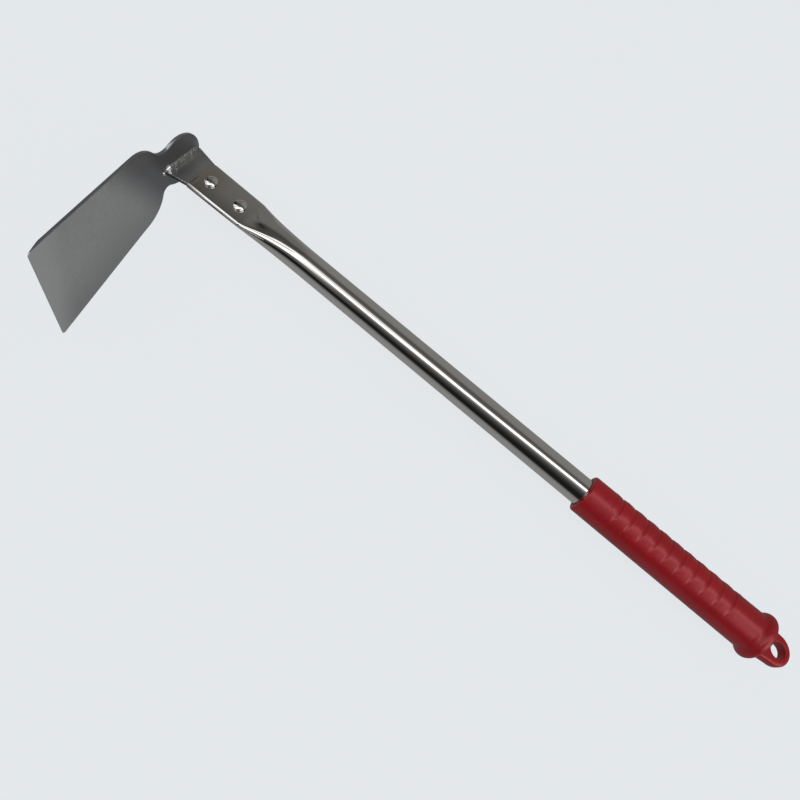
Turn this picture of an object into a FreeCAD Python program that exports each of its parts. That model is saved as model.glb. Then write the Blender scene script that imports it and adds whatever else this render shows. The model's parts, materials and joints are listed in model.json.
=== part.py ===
import FreeCAD, Part
import math
import os

# Short-handled hand hoe: a solid stamped blade welded to a tang, the tang riveted into the flattened end
# of a chromed tube, and a moulded grip with a hanging loop pushed on the other end.
#
# Every piece is first drawn in the handle's frame: X runs along the tube's axis from the blade (X = 0 at the
# weld) towards the grip, Z is across the tube in the tool's middle plane, with the blade's tip towards -Z,
# and Y is sideways. Then lay_down() turns the whole tool on to its side, as it rests when it is put down.
# All sizes are in millimetres and all angles in degrees.

Vector = FreeCAD.Vector

# Blade
BLADE_LENGTH = 129.3
EDGE_WIDTH = 70.2
SIDE_FLARE = 0.087          # half-width gained for each millimetre towards the cutting edge
BLADE_THICKNESS = 2.0
EDGE_CORNER_RADIUS = 2.2
HEAD_RADIUS = 16.2
HEAD_DROP = 2.1             # the head's centre is this far below the handle's axis, along the blade
HEAD_SIDE_OFFSET = 2.4      # the head is stamped this far to the tang's front side
FRONT_WAIST_RADIUS = 9.0
BACK_WAIST_RADIUS = 4.4
SHOULDER_RADIUS = 20.2
SHOULDER_DROP = 36.6        # the shoulder arc's centre, measured like HEAD_DROP
HEAD_LEAN = 5.2             # the head leans towards the grip by this much from square to the handle
BLADE_LEAN = 14.9           # and the body below the bend by this much
BEND_START = 14.0           # the bend's two ends, measured down the face from the handle's axis
BEND_END = 40.0
BEVEL_LENGTH = 9.0          # ground on the back, down to the cutting edge
EDGE_LAND = 0.3

# Tang
TANG_THICKNESS = 2.5
TANG_WELD_TOP = 14.4
TANG_WELD_BOTTOM = -13.2
TANG_MOUTH_TOP = 11.7
TANG_MOUTH_BOTTOM = -10.3
TAIL_HALF_WIDTH = 8.6
TAIL_SHIFT = 0.5
TAIL_END = 50.0
WELD_BALL_RADIUS = 2.0       # the bead lies more on the blade than on the tang
WELD_BALL_X = -0.4
WELD_BALL_OFFSET = 1.5
WELD_TOP = 11.6
WELD_RIPPLES = 15

# Tube
TUBE_DIAMETER = 16.0
TUBE_WALL = 0.9
TUBE_MOUTH = 14.3
FLAT_END = 52.5
ROUND_START = 98.0
MOUTH_WIDTH = 23.5
MOUTH_SHIFT = 0.6           # the flattened end spreads a little more to the side away from the blade
FLAT_WIDTH = 22.5           # where the flat ends
FLAT_HEIGHT = TANG_THICKNESS + 2 * TUBE_WALL
FLAT_SHIFT = 0.9
TUBE_END = 404.0
TRANSITION_STEPS = 6

# Rivets
RIVET_STATIONS = {"rivet_near_blade": 22.2, "rivet_near_handle": 44.8}
RIVET_SHIFT = 0.2
RIVET_SHANK_RADIUS = 2.2
RIVET_HEAD_RADIUS = 3.9
RIVET_HEAD_HEIGHT = 2.2

# Grip
GRIP_START = 294.9
GRIP_RADIUS = 11.25
GRIP_RIM_RADIUS = 1.2
FLANGE_FILLET_START = 403.0
FLANGE_RADIUS = 13.5
FLANGE_ROUND = 3.0
FLANGE_BACK = 411.4
GROOVE_FIRST = 313.0
GROOVE_PITCH = 8.05
GROOVE_COUNT = 10
GROOVE_SECTION_RADIUS = 1.0
GROOVE_DEPTH = 0.4
GROOVE_SHIFT = 0.3          # each groove's ring is shifted sideways, so it fades out round the grip

# Hanging loop
LOOP_THICKNESS = 6.0
LOOP_BASE_HALF_WIDTH = 10.0
LOOP_END_RADIUS = 8.8
LOOP_END = 427.9
LOOP_HOLE_RADIUS = 4.3
LOOP_HOLE_STATION = 420.3
LOOP_EDGE_RADIUS = 1.5

HALF_LENGTH = BLADE_LENGTH - (HEAD_RADIUS - HEAD_DROP)   # from the handle's axis down to the cutting edge
HEAD_LEAN_RAD = math.radians(HEAD_LEAN)
BLADE_LEAN_RAD = math.radians(BLADE_LEAN)
BEND_RADIUS = (BEND_END - BEND_START) / (BLADE_LEAN_RAD - HEAD_LEAN_RAD)


def sheet_point(distance, depth):
    """Point in the middle plane, 'distance' down the blade's face and 'depth' behind that face."""
    lean = HEAD_LEAN_RAD + (min(max(distance, BEND_START), BEND_END) - BEND_START) / BEND_RADIUS
    x = min(distance, BEND_START) * math.sin(HEAD_LEAN_RAD)
    z = -min(distance, BEND_START) * math.cos(HEAD_LEAN_RAD)
    x += BEND_RADIUS * (math.cos(HEAD_LEAN_RAD) - math.cos(lean))
    z -= BEND_RADIUS * (math.sin(lean) - math.sin(HEAD_LEAN_RAD))
    x += max(distance - BEND_END, 0) * math.sin(BLADE_LEAN_RAD)
    z -= max(distance - BEND_END, 0) * math.cos(BLADE_LEAN_RAD)
    return Vector(x - depth * math.cos(lean), 0, z - depth * math.sin(lean))


def sheet_line(depth):
    """The bent sheet's straight, arc and straight, at one depth behind its face."""
    top, bottom = -HEAD_RADIUS, HALF_LENGTH + 5
    middle = (BEND_START + BEND_END) / 2
    return [
        Part.LineSegment(sheet_point(top, depth), sheet_point(BEND_START, depth)),
        Part.Arc(sheet_point(BEND_START, depth), sheet_point(middle, depth), sheet_point(BEND_END, depth)),
        Part.LineSegment(sheet_point(BEND_END, depth), sheet_point(bottom, depth)),
    ]


def extrude_wire(edges, direction):
    return Part.Face(Part.Wire(Part.sortEdges(edges)[0])).extrude(direction)


def bent_sheet():
    """A wide strip of the blade's sheet, before its outline is cut."""
    face = sheet_line(0)
    back = sheet_line(BLADE_THICKNESS)
    ends = [
        Part.LineSegment(face[0].StartPoint, back[0].StartPoint),
        Part.LineSegment(face[-1].EndPoint, back[-1].EndPoint),
    ]
    strip = extrude_wire([curve.toShape() for curve in face + back + ends], Vector(0, EDGE_WIDTH + 20, 0))
    strip.translate(Vector(0, -EDGE_WIDTH / 2 - 10, 0))
    return strip


def arc_edge(centre, radius, start, end):
    """Arc in the outline's plane, from one angle to another."""
    points = []
    for angle in (start, (start + end) / 2, end):
        direction = Vector(math.cos(math.radians(angle)), math.sin(math.radians(angle)), 0)
        points.append(centre + direction * radius)
    return Part.Arc(*points)


def half_outline(head_x, waist_radius):
    """One half of the flat blade: across in X, down the face in Y, from the head's top to the edge's middle.

    The head's centre lies at head_x, on or near the line that the two halves share.
    """
    head = Vector(head_x, HEAD_DROP, 0)
    side_angle = math.degrees(math.atan(SIDE_FLARE))
    side_x = EDGE_WIDTH / 2 - SIDE_FLARE * (HALF_LENGTH - SHOULDER_DROP)
    shoulder = Vector(side_x - SHOULDER_RADIUS * math.hypot(1, SIDE_FLARE), SHOULDER_DROP, 0)

    # The waist's arc touches the head's circle and the shoulder's circle from outside.
    apart = shoulder - head
    head_reach, shoulder_reach = HEAD_RADIUS + waist_radius, SHOULDER_RADIUS + waist_radius
    along = (apart.Length ** 2 + head_reach ** 2 - shoulder_reach ** 2) / (2 * apart.Length)
    aside = math.sqrt(head_reach ** 2 - along ** 2)
    waist = head + apart * (along / apart.Length) + Vector(apart.y, -apart.x, 0) * (aside / apart.Length)
    head_angle = math.degrees(math.atan2(waist.y - head.y, waist.x - head.x))
    shoulder_angle = math.degrees(math.atan2(waist.y - shoulder.y, waist.x - shoulder.x))
    shoulder_arc = arc_edge(shoulder, SHOULDER_RADIUS, shoulder_angle, -side_angle)

    # The small corner arc is tangent to the flared side and to the cutting edge.
    corner_tangent = EDGE_CORNER_RADIUS * math.tan(math.radians(90 + side_angle) / 2)
    corner_centre = Vector(EDGE_WIDTH / 2 - corner_tangent, HALF_LENGTH - EDGE_CORNER_RADIUS, 0)
    corner_arc = arc_edge(corner_centre, EDGE_CORNER_RADIUS, -side_angle, 90)

    return [
        arc_edge(head, HEAD_RADIUS, -90, head_angle),
        arc_edge(waist, waist_radius, 180 + head_angle, 180 + shoulder_angle),
        shoulder_arc,
        Part.LineSegment(shoulder_arc.EndPoint, corner_arc.StartPoint),
        corner_arc,
        Part.LineSegment(corner_arc.EndPoint, Vector(0, HALF_LENGTH, 0)),
    ]


def blade():
    front = [curve.toShape() for curve in half_outline(HEAD_SIDE_OFFSET, FRONT_WAIST_RADIUS)]
    back = [curve.toShape() for curve in half_outline(-HEAD_SIDE_OFFSET, BACK_WAIST_RADIUS)]
    back = [edge.mirror(Vector(0, 0, 0), Vector(1, 0, 0)) for edge in back]
    prism = extrude_wire(front + back, Vector(0, 0, 60))
    # The outline's plane is the body's face: its Y runs down the face and its Z along the face's normal.
    lean = BLADE_LEAN_RAD
    edge_point = sheet_point(HALF_LENGTH, 0)
    down = Vector(math.sin(lean), 0, -math.cos(lean))
    normal = Vector(math.cos(lean), 0, math.sin(lean))
    corner = edge_point - down * HALF_LENGTH - normal * 30
    prism = prism.transformGeometry(
        FreeCAD.Matrix(
            0, down.x, normal.x, corner.x,
            -1, down.y, normal.y, corner.y,
            0, down.z, normal.z, corner.z,
            0, 0, 0, 1,
        )
    )
    plate = bent_sheet().common(prism)

    # The bevel is a wedge taken off the back, from BEVEL_LENGTH up the blade down to a thin land.
    wedge_points = [
        sheet_point(HALF_LENGTH - BEVEL_LENGTH, BLADE_THICKNESS),
        sheet_point(HALF_LENGTH, EDGE_LAND),
        sheet_point(HALF_LENGTH + 2, BLADE_THICKNESS + 4),
        sheet_point(HALF_LENGTH - BEVEL_LENGTH, BLADE_THICKNESS + 4),
    ]
    wedge_face = Part.Face(Part.makePolygon(wedge_points + wedge_points[:1]))
    wedge = wedge_face.extrude(Vector(0, EDGE_WIDTH + 20, 0))
    wedge.translate(Vector(0, -EDGE_WIDTH / 2 - 10, 0))
    return plate.cut(wedge)


def tang():
    """A plate on edge: wide at the weld, with shoulders against the tube's mouth and a narrower tail."""
    face_slope = math.tan(HEAD_LEAN_RAD)
    points = [
        Vector(-TANG_WELD_TOP * face_slope, 0, TANG_WELD_TOP),
        Vector(TUBE_MOUTH, 0, TANG_MOUTH_TOP),
        Vector(TUBE_MOUTH, 0, TAIL_HALF_WIDTH + TAIL_SHIFT),
        Vector(TAIL_END, 0, TAIL_HALF_WIDTH + TAIL_SHIFT),
        Vector(TAIL_END, 0, -TAIL_HALF_WIDTH + TAIL_SHIFT),
        Vector(TUBE_MOUTH, 0, -TAIL_HALF_WIDTH + TAIL_SHIFT),
        Vector(TUBE_MOUTH, 0, TANG_MOUTH_BOTTOM),
        Vector(-TANG_WELD_BOTTOM * face_slope, 0, TANG_WELD_BOTTOM),
    ]
    plate = Part.Face(Part.makePolygon(points + points[:1])).extrude(Vector(0, TANG_THICKNESS, 0))
    plate.translate(Vector(0, -TANG_THICKNESS / 2, 0))
    for station in RIVET_STATIONS.values():
        plate = plate.cut(rivet_hole(station))
    return plate


def weld_bead(side, blade_solid, tang_solid):
    """Overlapping weld ripples in the corner between the tang's side and the blade's face."""
    span = WELD_TOP - TANG_WELD_BOTTOM
    y = side * (TANG_THICKNESS / 2 + WELD_BALL_OFFSET)
    ripples = []
    for index in range(WELD_RIPPLES):
        z = TANG_WELD_BOTTOM + span * (index + 0.5) / WELD_RIPPLES
        centre = Vector(WELD_BALL_X - z * math.tan(HEAD_LEAN_RAD), y, z)
        ripples.append(Part.makeSphere(WELD_BALL_RADIUS, centre))
    bead = ripples[0].multiFuse(ripples[1:])
    # What is left on the blade's face is the largest piece; the rest would stick out behind the blade.
    return max(bead.cut(blade_solid).cut(tang_solid).Solids, key=lambda solid: solid.Volume)


def tube_section(x, blend, inset, flat_width=FLAT_WIDTH, flat_shift=FLAT_SHIFT):
    """Closed outline across the tube: flattened at blend 0, round at blend 1, and 'inset' inside the skin."""
    radius = TUBE_DIAMETER / 2 - inset
    half_height = FLAT_HEIGHT / 2 - inset
    half_width = flat_width / 2 - inset
    round_corner = radius * math.sqrt(0.5)
    corner_y = half_height + (round_corner - half_height) * blend
    corner_z = (half_width - half_height) + (round_corner - half_width + half_height) * blend
    crown = half_height + (radius - half_height) * blend
    side = half_width + (radius - half_width) * blend
    shift = flat_shift * (1 - blend)

    def point(y, z):
        return Vector(x, y, z + shift)

    edges = []
    for sign in (1, -1):
        start, end = point(sign * corner_y, -sign * corner_z), point(sign * corner_y, sign * corner_z)
        if blend > 0:
            edges.append(Part.Arc(start, point(sign * crown, 0), end).toShape())
        else:
            edges.append(Part.LineSegment(start, end).toShape())
        edges.append(Part.Arc(end, point(0, sign * side), point(-sign * corner_y, sign * corner_z)).toShape())
    return Part.Wire(edges)


def tube_body(inset):
    """The whole tube as a bar: flat end, transition and round length."""
    mouth = tube_section(TUBE_MOUTH - inset, 0, inset, MOUTH_WIDTH, MOUTH_SHIFT)
    flat = Part.makeLoft([mouth, tube_section(FLAT_END, 0, inset)], True)
    sections = []
    for step in range(TRANSITION_STEPS + 1):
        along = step / TRANSITION_STEPS
        blend = 1 - (1 - along) ** 2
        sections.append(tube_section(FLAT_END + (ROUND_START - FLAT_END) * along, blend, inset))
    transition = Part.makeLoft(sections, True)
    length = TUBE_END + inset - ROUND_START
    bar = Part.makeCylinder(TUBE_DIAMETER / 2 - inset, length, Vector(ROUND_START, 0, 0), Vector(1, 0, 0))
    return flat.fuse([transition, bar])


def handle_tube():
    tube = tube_body(0).cut(tube_body(TUBE_WALL))
    for station in RIVET_STATIONS.values():
        tube = tube.cut(rivet_hole(station))
    return tube


def rivet_hole(station):
    height = FLAT_HEIGHT + 2
    return Part.makeCylinder(
        RIVET_SHANK_RADIUS, height, Vector(station, -height / 2, RIVET_SHIFT), Vector(0, 1, 0)
    )


def rivet_head(station, side):
    """Low dome that sits on the tube's flat."""
    ball_radius = (RIVET_HEAD_RADIUS ** 2 + RIVET_HEAD_HEIGHT ** 2) / (2 * RIVET_HEAD_HEIGHT)
    seat = FLAT_HEIGHT / 2
    centre = Vector(station, side * (seat + RIVET_HEAD_HEIGHT - ball_radius), RIVET_SHIFT)
    ball = Part.makeSphere(ball_radius, centre)
    keep = Part.makeCylinder(
        2 * ball_radius, 2 * ball_radius, Vector(station, side * seat, RIVET_SHIFT), Vector(0, side, 0)
    )
    return ball.common(keep)


def rivet(station):
    shank = Part.makeCylinder(
        RIVET_SHANK_RADIUS, FLAT_HEIGHT, Vector(station, -FLAT_HEIGHT / 2, RIVET_SHIFT), Vector(0, 1, 0)
    )
    return shank.fuse([rivet_head(station, 1), rivet_head(station, -1)]).removeSplitter()


def grip_skin():
    """The grip's turned shape: round front rim, plain barrel, fillet, rounded flange and flat end."""
    barrel_end = Vector(FLANGE_FILLET_START, 0, GRIP_RADIUS)
    crown = Vector(FLANGE_BACK - FLANGE_ROUND, 0, FLANGE_RADIUS)
    foot = Vector(FLANGE_BACK, 0, FLANGE_RADIUS - FLANGE_ROUND)
    rim = GRIP_RIM_RADIUS * (1 - math.sqrt(0.5))
    diagonal = FLANGE_ROUND * (1 - math.sqrt(0.5))
    rim_start = Vector(GRIP_START, 0, GRIP_RADIUS - GRIP_RIM_RADIUS)
    rim_end = Vector(GRIP_START + GRIP_RIM_RADIUS, 0, GRIP_RADIUS)
    curves = [
        Part.LineSegment(Vector(GRIP_START, 0, 0), rim_start),
        Part.Arc(rim_start, Vector(GRIP_START + rim, 0, GRIP_RADIUS - rim), rim_end),
        Part.LineSegment(rim_end, barrel_end),
        flange_front(barrel_end, crown),
        Part.Arc(crown, Vector(FLANGE_BACK - diagonal, 0, FLANGE_RADIUS - diagonal), foot),
        Part.LineSegment(foot, Vector(FLANGE_BACK, 0, 0)),
        Part.LineSegment(Vector(FLANGE_BACK, 0, 0), Vector(GRIP_START, 0, 0)),
    ]
    profile = Part.Face(Part.Wire([curve.toShape() for curve in curves]))
    return profile.revolve(Vector(0, 0, 0), Vector(1, 0, 0), 360)


def flange_front(start, end):
    """Soft S-curve from the barrel up to the flange, level at both ends."""
    reach = (end.x - start.x) / 2
    curve = Part.BezierCurve()
    curve.setPoles([start, start + Vector(reach, 0, 0), end - Vector(reach, 0, 0), end])
    return curve


def grip_grooves():
    ring_radius = GRIP_RADIUS - GROOVE_DEPTH + GROOVE_SHIFT + GROOVE_SECTION_RADIUS
    rings = []
    for index in range(GROOVE_COUNT):
        centre = Vector(GROOVE_FIRST + GROOVE_PITCH * index, 0, -GROOVE_SHIFT)
        rings.append(Part.makeTorus(ring_radius, GROOVE_SECTION_RADIUS, centre, Vector(1, 0, 0)))
    return rings


def hanging_loop():
    """Flat tab with a round end and a hole across it, rooted in the flange."""
    centre = LOOP_END - LOOP_END_RADIUS
    root = FLANGE_BACK - 3
    reach = centre - root
    swing = math.degrees(math.atan2(LOOP_BASE_HALF_WIDTH - LOOP_END_RADIUS, reach))
    angle = math.radians(90 - swing)
    touch = Vector(centre + LOOP_END_RADIUS * math.cos(angle), 0, LOOP_END_RADIUS * math.sin(angle))
    upper, lower = Vector(root, 0, LOOP_BASE_HALF_WIDTH), Vector(root, 0, -LOOP_BASE_HALF_WIDTH)
    mirrored = Vector(touch.x, 0, -touch.z)
    curves = [
        Part.LineSegment(upper, touch),
        Part.Arc(touch, Vector(LOOP_END, 0, 0), mirrored),
        Part.LineSegment(mirrored, lower),
        Part.LineSegment(lower, upper),
    ]
    tab = Part.Face(Part.Wire([curve.toShape() for curve in curves])).extrude(Vector(0, LOOP_THICKNESS, 0))
    tab.translate(Vector(0, -LOOP_THICKNESS / 2, 0))
    outer = [edge for edge in tab.Edges if abs(abs(edge.CenterOfMass.y) - LOOP_THICKNESS / 2) < 0.01
             and edge.BoundBox.XMax > root + 1]
    return tab.makeFillet(LOOP_EDGE_RADIUS, outer)


def grip():
    body = grip_skin().fuse(hanging_loop())
    bore_length = TUBE_END - GRIP_START
    bore = Part.makeCylinder(TUBE_DIAMETER / 2, bore_length, Vector(GRIP_START, 0, 0), Vector(1, 0, 0))
    hole_start = Vector(LOOP_HOLE_STATION, -2 * LOOP_THICKNESS, 0)
    hole = Part.makeCylinder(LOOP_HOLE_RADIUS, 4 * LOOP_THICKNESS, hole_start, Vector(0, 1, 0))
    return body.cut([bore, hole] + grip_grooves())


def resting_axes():
    """Axes of the floor, for the tool on its +Y side: one long side of the blade and the flange touch it."""
    side_y = EDGE_WIDTH / 2
    low_point = sheet_point(HALF_LENGTH - EDGE_CORNER_RADIUS, 0) + Vector(0, side_y, 0)
    high_drop = BEND_END
    high_point = sheet_point(high_drop, 0) + Vector(0, side_y - SIDE_FLARE * (HALF_LENGTH - high_drop), 0)
    down = Vector(0, 1, 0)
    for _ in range(8):
        across = Vector(0, down.y, down.z).normalize()
        flange_point = Vector(FLANGE_BACK - FLANGE_ROUND, 0, 0) + across * FLANGE_RADIUS
        down = (low_point - high_point).cross(low_point - flange_point).normalize()
    up = down * -1
    along = (Vector(1, 0, 0) - up * up.x).normalize()
    return along, up.cross(along), up


def lay_down(shapes):
    """Turns the pieces on to the floor, with the origin under the middle of their box."""
    along, across, up = resting_axes()
    turn = FreeCAD.Matrix(
        along.x, along.y, along.z, 0,
        across.x, across.y, across.z, 0,
        up.x, up.y, up.z, 0,
        0, 0, 0, 1,
    )
    placement = FreeCAD.Placement(turn)
    for shape in shapes.values():
        shape.Placement = placement.multiply(shape.Placement)
    box = Part.makeCompound(list(shapes.values())).optimalBoundingBox(False, False)
    shift = Vector(-box.Center.x, -box.Center.y, -box.ZMin)
    for shape in shapes.values():
        shape.translate(shift)
    return placement, shift


def report_frame(placement, shift):
    """Prints the hanging hole and the handle's axis in the finished frame."""
    hole = placement.multVec(Vector(LOOP_HOLE_STATION, 0, 0)) + shift
    axis = placement.multVec(Vector(0, -1, 0))
    origin = placement.multVec(Vector(0, 0, 0)) + shift
    handle = placement.multVec(Vector(1, 0, 0))
    print("hanging hole centre, mm:", [round(value, 3) for value in hole])
    print("hanging hole axis:", [round(value, 6) for value in axis])
    print("weld centre on the handle's axis, mm:", [round(value, 3) for value in origin])
    print("handle axis:", [round(value, 6) for value in handle])


def build():
    blade_solid = blade()
    tang_solid = tang()
    shapes = {
        "blade": blade_solid,
        "tang": tang_solid,
        "weld_bead_front": weld_bead(-1, blade_solid, tang_solid),
        "weld_bead_back": weld_bead(1, blade_solid, tang_solid),
        "handle_tube": handle_tube(),
        "grip": grip(),
    }
    for name, station in RIVET_STATIONS.items():
        shapes[name] = rivet(station)
    placement, shift = lay_down(shapes)
    os.makedirs("parts", exist_ok=True)
    for name, shape in shapes.items():
        shape.exportStep("parts/" + name + ".step")
        print(name, len(shape.Solids), "solid, volume", round(shape.Volume, 1), "valid", shape.isValid())
    report_frame(placement, shift)


build()
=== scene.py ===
import json
import math

import bmesh
import bpy
import numpy as np
from mathutils import Matrix, Vector, noise


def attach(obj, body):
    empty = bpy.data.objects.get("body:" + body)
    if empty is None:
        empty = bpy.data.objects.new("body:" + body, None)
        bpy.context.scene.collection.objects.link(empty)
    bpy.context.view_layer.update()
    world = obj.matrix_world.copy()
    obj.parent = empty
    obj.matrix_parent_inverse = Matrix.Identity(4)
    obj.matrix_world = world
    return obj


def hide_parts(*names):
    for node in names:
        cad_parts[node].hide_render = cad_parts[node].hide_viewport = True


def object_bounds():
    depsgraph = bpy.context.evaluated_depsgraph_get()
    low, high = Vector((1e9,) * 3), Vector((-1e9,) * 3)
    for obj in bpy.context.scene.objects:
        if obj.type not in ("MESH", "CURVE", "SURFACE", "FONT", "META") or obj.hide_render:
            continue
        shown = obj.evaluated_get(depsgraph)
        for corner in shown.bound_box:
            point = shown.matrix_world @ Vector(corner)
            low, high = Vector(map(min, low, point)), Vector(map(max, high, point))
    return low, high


# The looks of the short-handled hand hoe. Pieces are drawn in the handle's frame, in millimetres: X along
# the handle from the weld to the grip, Z across it with the blade's tip towards -Z, and Y sideways, with
# the front on the -Y side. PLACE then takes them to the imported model's frame, in metres.

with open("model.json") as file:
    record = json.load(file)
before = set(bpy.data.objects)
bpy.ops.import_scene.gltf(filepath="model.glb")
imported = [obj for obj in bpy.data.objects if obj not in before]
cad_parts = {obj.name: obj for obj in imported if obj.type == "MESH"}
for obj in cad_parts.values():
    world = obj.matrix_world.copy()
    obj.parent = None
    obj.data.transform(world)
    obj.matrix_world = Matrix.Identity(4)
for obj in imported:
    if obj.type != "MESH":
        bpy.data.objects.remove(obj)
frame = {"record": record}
cad_box = [[float(value) for value in corner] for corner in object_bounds()]

# Sizes in millimetres, as in the CAD model
HALF_LENGTH, EDGE_WIDTH, SIDE_FLARE = 115.2, 70.2, 0.087
BLADE_THICKNESS, CORNER_RADIUS, EDGE_LAND, BEVEL_LENGTH = 2.0, 2.2, 0.3, 9.0
HEAD_RADIUS, HEAD_DROP, HEAD_OFFSET = 16.2, 2.1, 2.4
FRONT_WAIST, BACK_WAIST, SHOULDER_RADIUS, SHOULDER_DROP = 9.0, 4.4, 20.2, 36.6
HEAD_LEAN, BLADE_LEAN = math.radians(5.2), math.radians(14.9)
BEND_START, BEND_END = 14.0, 40.0
BEND_RADIUS = (BEND_END - BEND_START) / (BLADE_LEAN - HEAD_LEAN)
TANG_THICKNESS, TAIL_TOP, TAIL_BOTTOM, TAIL_END = 2.5, 9.1, -8.1, 50.0
TANG_WELD_TOP, TANG_WELD_BOTTOM, TANG_MOUTH_TOP, TANG_MOUTH_BOTTOM = 14.4, -13.2, 11.7, -10.3
TUBE_RADIUS, TUBE_WALL, TUBE_MOUTH, FLAT_END, ROUND_START, TUBE_END = 8.0, 0.9, 14.3, 52.5, 98.0, 404.0
FLAT_HALF_HEIGHT, MOUTH_HALF_WIDTH, MOUTH_SHIFT = 2.15, 11.75, 0.6
FLAT_HALF_WIDTH, FLAT_SHIFT = 11.25, 0.9
RIVETS, RIVET_SHIFT = {"rivet_near_blade": 22.2, "rivet_near_handle": 44.8}, 0.2
RIVET_RADIUS, RIVET_WALL, RIVET_SLOPE = 3.9, 0.9, math.radians(34)
GRIP_START, GRIP_RADIUS, GRIP_RIM = 294.9, 11.25, 1.2
GROOVE_FIRST, GROOVE_PITCH, GROOVE_COUNT = 313.0, 8.05, 10
FLANGE_START, FLANGE_BACK, FLANGE_RADIUS, FLANGE_ROUND = 403.0, 411.4, 13.5, 3.0
LOOP_THICKNESS, LOOP_START, LOOP_BASE = 6.0, 404.6, 10.0
LOOP_HOLE_X, LOOP_HOLE_RADIUS, LOOP_END, LOOP_END_RADIUS = 420.3, 4.3, 427.9, 8.8

# Points round each section
TUBE_SIDES, WELD_SIDES, RIVET_SIDES, GRIP_SIDES, LOOP_STEPS = 144, 36, 64, 120, 144
# Points that measure the tube's outline, and the share of length, against angle, in laying out its sides
TUBE_SAMPLES, TUBE_BY_LENGTH = 2400, 0.45

hole = next(mount for mount in frame["record"]["mounts"] if mount["name"] == "hang_hole")
SIDE = Vector(hole["axis"]).normalized()
ALONG = Vector((SIDE.z, 0, -SIDE.x)).normalized()
ACROSS = ALONG.cross(-SIDE)
ORIGIN = Vector(hole["pos_m"]) - ALONG * (LOOP_HOLE_X * 0.001)
TURN = Matrix((ALONG, -SIDE, ACROSS)).transposed().to_4x4()
PLACE = Matrix.Translation(ORIGIN) @ TURN @ Matrix.Scale(0.001, 4)


# ---------------------------------------------------------------- meshes

def new_piece(name, points, faces, node, material):
    """A piece from points in the handle's frame. With a node, it stands for it and rides on the one body."""
    mesh = bpy.data.meshes.new(name)
    mesh.from_pydata([tuple(point) for point in points], [], faces)
    mesh.transform(PLACE)
    work = bmesh.new()
    work.from_mesh(mesh)
    bmesh.ops.remove_doubles(work, verts=work.verts, dist=1e-7)
    bmesh.ops.recalc_face_normals(work, faces=work.faces)
    work.to_mesh(mesh)
    work.free()
    mesh.polygons.foreach_set("use_smooth", [True] * len(mesh.polygons))
    mesh.materials.append(material)
    piece = bpy.data.objects.new(name, mesh)
    bpy.context.scene.collection.objects.link(piece)
    if node:
        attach(piece, "root")
        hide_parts(node)
    return piece


def keep_flats(piece):
    """Large faces keep their own normals beside a small rounding."""
    modifier = piece.modifiers.new("flats", "WEIGHTED_NORMAL")
    modifier.weight = 80
    modifier.keep_sharp = True


def loft(rings, close_ends=True):
    """Points and faces of a skin through rings with equal counts, each ring closed."""
    count = len(rings[0])
    points = [point for ring in rings for point in ring]
    faces = []
    for row in range(len(rings) - 1):
        for column in range(count):
            a, b = row * count + column, row * count + (column + 1) % count
            faces.append((a, b, b + count, a + count))
    if close_ends:
        faces.append(tuple(range(count)))
        faces.append(tuple(range(len(points) - count, len(points)))[::-1])
    return points, faces


def smoothstep(low, high, value):
    """0 up to low, 1 from high on, with a soft rise between."""
    t = np.clip((value - low) / (high - low), 0, 1)
    return t * t * (3 - 2 * t)


# ---------------------------------------------------------------- blade

def half_outline(drop, head_x, waist_radius):
    """Half-width at each drop down the blade, with its outward normal, for one side of the outline."""
    side_x = EDGE_WIDTH / 2 - SIDE_FLARE * (HALF_LENGTH - SHOULDER_DROP)
    head = np.array([head_x, HEAD_DROP])
    shoulder = np.array([side_x - SHOULDER_RADIUS * math.hypot(1, SIDE_FLARE), SHOULDER_DROP])
    apart = shoulder - head
    distance = np.linalg.norm(apart)
    head_reach, shoulder_reach = HEAD_RADIUS + waist_radius, SHOULDER_RADIUS + waist_radius
    along = (distance ** 2 + head_reach ** 2 - shoulder_reach ** 2) / (2 * distance)
    aside = math.sqrt(head_reach ** 2 - along ** 2)
    waist = head + apart * along / distance + np.array([apart[1], -apart[0]]) * aside / distance
    head_end = (head + (waist - head) * HEAD_RADIUS / head_reach)[1]
    waist_end = (shoulder + (waist - shoulder) * SHOULDER_RADIUS / shoulder_reach)[1]
    side_angle = math.atan(SIDE_FLARE)
    shoulder_end = SHOULDER_DROP - SHOULDER_RADIUS * math.sin(side_angle)
    corner_x = EDGE_WIDTH / 2 - CORNER_RADIUS * math.tan((math.pi / 2 + side_angle) / 2)
    corner = np.array([corner_x, HALF_LENGTH - CORNER_RADIUS])
    corner_start = corner[1] - CORNER_RADIUS * math.sin(side_angle)
    width, normal = np.zeros(len(drop)), np.zeros((len(drop), 2))
    for index, value in enumerate(drop):
        if value <= waist_end:
            on_head = value <= head_end
            circle, radius, sign = (head, HEAD_RADIUS, 1) if on_head else (waist, waist_radius, -1)
        elif value <= shoulder_end:
            circle, radius, sign = shoulder, SHOULDER_RADIUS, 1
        elif value >= corner_start:
            circle, radius, sign = corner, CORNER_RADIUS, 1
        else:
            width[index] = EDGE_WIDTH / 2 - SIDE_FLARE * (HALF_LENGTH - value)
            normal[index] = (math.cos(side_angle), -math.sin(side_angle))
            continue
        offset = value - circle[1]
        reach = math.sqrt(max(radius ** 2 - offset ** 2, 0))
        width[index] = circle[0] + sign * reach
        normal[index] = (reach / radius, sign * offset / radius)
    return width, normal


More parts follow.
